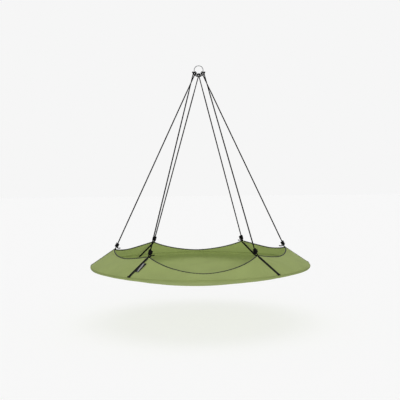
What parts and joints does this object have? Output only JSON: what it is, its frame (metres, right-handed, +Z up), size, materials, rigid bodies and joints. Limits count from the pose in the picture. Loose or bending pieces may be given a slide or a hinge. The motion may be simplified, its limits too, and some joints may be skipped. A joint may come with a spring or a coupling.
{
  "type": "circular hammock",
  "caption": "Round hanging hammock: a sagging cloth bed with low scalloped walls on a pole hoop, hung by ropes from one steel ring.",
  "frame": {"origin": "inner top of the hanging ring, where a hook or carabiner bears", "axes": "+Z up, +X to the right of the pictured view, -Y towards the viewer, the side with the label on its left"},
  "size_m": [1.8312, 1.8224, 1.8012],
  "materials": {
    "ring_steel": "polished steel ring",
    "black_rope": "braided polyester rope",
    "black_webbing": "woven webbing",
    "black_edge_cord": "sewn edge cord",
    "green_wall_fabric": "plain woven canvas",
    "green_bed_fabric": "plain woven canvas",
    "green_sleeve_fabric": "plain woven canvas",
    "pole_aluminium": "drawn tube",
    "ferrule_aluminium": "turned rod",
    "black_label": "bare woven label"
  },
  "bodies": {
    "ring": {"hanging_ring": "ring_steel"},
    "hitches": {"ring_hitch_left": "black_rope", "ring_hitch_middle": "black_rope", "ring_hitch_right": "black_rope"},
    "hammock": {"rope_right": "black_rope", "rope_back_right": "black_rope", "rope_back_left": "black_rope", "rope_left": "black_rope", "rope_front_left": "black_rope", "rope_front_right": "black_rope", "strap_right": "black_webbing", "strap_back_right": "black_webbing", "strap_back_left": "black_webbing", "strap_left": "black_webbing", "strap_front_left": "black_webbing", "strap_front_right": "black_webbing", "edge_cord_right_back": "black_edge_cord", "edge_cord_back": "black_edge_cord", "edge_cord_left_back": "black_edge_cord", "edge_cord_left_front": "black_edge_cord", "edge_cord_front": "black_edge_cord", "edge_cord_right_front": "black_edge_cord", "wall_right_back": "green_wall_fabric", "wall_back": "green_wall_fabric", "wall_left_back": "green_wall_fabric", "wall_left_front": "green_wall_fabric", "wall_front": "green_wall_fabric", "wall_right_front": "green_wall_fabric", "bed_sheet": "green_bed_fabric", "hoop_sleeve": "green_sleeve_fabric", "pole_section_1": "pole_aluminium", "pole_section_2": "pole_aluminium", "pole_section_3": "pole_aluminium", "pole_section_4": "pole_aluminium", "pole_section_5": "pole_aluminium", "pole_section_6": "pole_aluminium", "pole_section_7": "pole_aluminium", "pole_section_8": "pole_aluminium", "pole_ferrule_1": "ferrule_aluminium", "pole_ferrule_2": "ferrule_aluminium", "pole_ferrule_3": "ferrule_aluminium", "pole_ferrule_4": "ferrule_aluminium", "pole_ferrule_5": "ferrule_aluminium", "pole_ferrule_6": "ferrule_aluminium", "pole_ferrule_7": "ferrule_aluminium", "pole_ferrule_8": "ferrule_aluminium"},
    "tag": {"label_tag": "black_label"}
  },
  "joints": [
    {"name": "sway", "type": "hinge", "parent": "ring", "child": "hitches", "pos_m": [0, 0, -0.0335], "axis": [0, 1, 0], "range_deg": [-35, 35]},
    {"name": "swing", "type": "hinge", "parent": "hitches", "child": "hammock", "pos_m": [0, 0, -0.0925], "axis": [1, 0, 0], "range_deg": [-30, 30]},
    {"name": "tag_flap", "type": "hinge", "parent": "hammock", "child": "tag", "pos_m": [-0.47984, -0.66903, -1.58451], "axis": [-0.6143, -0.5608, -0.5551], "range_deg": [0, 120]}
  ]
}
